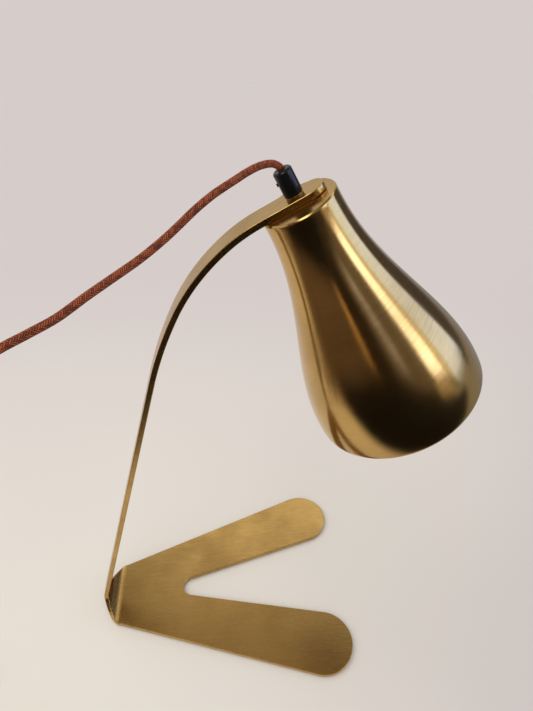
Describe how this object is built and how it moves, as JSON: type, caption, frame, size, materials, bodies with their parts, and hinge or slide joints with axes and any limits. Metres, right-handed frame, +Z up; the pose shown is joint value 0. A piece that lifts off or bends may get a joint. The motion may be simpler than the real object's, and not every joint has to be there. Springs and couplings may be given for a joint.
{
  "type": "task lamp",
  "caption": "Brass desk lamp: a bent strip arm on a forked flat foot, a clamped bell shade, and a braided lead with inline switch and plug.",
  "frame": {"origin": "middle of the lamp's box on the surface it stands on, the free lead and what is on it left out", "axes": "+X from the heel towards the shade, +Z up, lamp symmetrical about Y = 0"},
  "size_m": [0.6187, 0.2925, 0.5437],
  "materials": {
    "brass": "satin, brushed, antique toned",
    "bright_brass": "bright",
    "steel": "zinc plated",
    "black_plastic": "satin moulded",
    "porcelain": "glazed",
    "opal_glass": "opal, satin",
    "braid": "braided textile sleeve",
    "rubber": "matt",
    "brown_wire": "insulation",
    "blue_wire": "insulation"
  },
  "bodies": {
    "lamp": {"stand_plate": "brass", "foot_pad_heel": "rubber", "foot_pad_near": "rubber", "foot_pad_far": "rubber", "shade": "brass", "lock_ring": "bright_brass", "nipple": "steel", "cord_grip": "black_plastic", "grip_screw": "black_plastic", "shade_washer": "steel", "shade_nut": "steel", "cord_in_holder": "braid", "holder_cap": "black_plastic", "holder_body": "black_plastic", "holder_core": "porcelain", "holder_screw_shell": "bright_brass", "holder_contact": "bright_brass", "terminal_live": "bright_brass", "terminal_screw_live": "steel", "wire_live": "brown_wire", "terminal_neutral": "bright_brass", "terminal_screw_neutral": "steel", "wire_neutral": "blue_wire", "bulb_contact": "steel", "bulb_insulator": "black_plastic", "bulb_cap": "steel", "bulb_glass": "opal_glass", "cord_drop": "braid", "cord_link": "braid", "cord_coil": "braid", "cord_tail": "braid", "coil_tie": "rubber", "switch_base": "black_plastic", "switch_cover": "black_plastic", "rocker_pin": "steel", "switch_screw_inlet": "steel", "switch_screw_outlet": "steel", "plug_body": "black_plastic", "plug_pin_1": "bright_brass", "plug_pin_2": "bright_brass"},
    "rocker": {"switch_rocker": "black_plastic"}
  },
  "joints": [
    {"name": "switch_rocker_hinge", "type": "hinge", "parent": "lamp", "child": "rocker", "pos_m": [-0.33957, -0.15, 0.015], "axis": [0, -1, 0], "range_deg": [0, 14]}
  ]
}
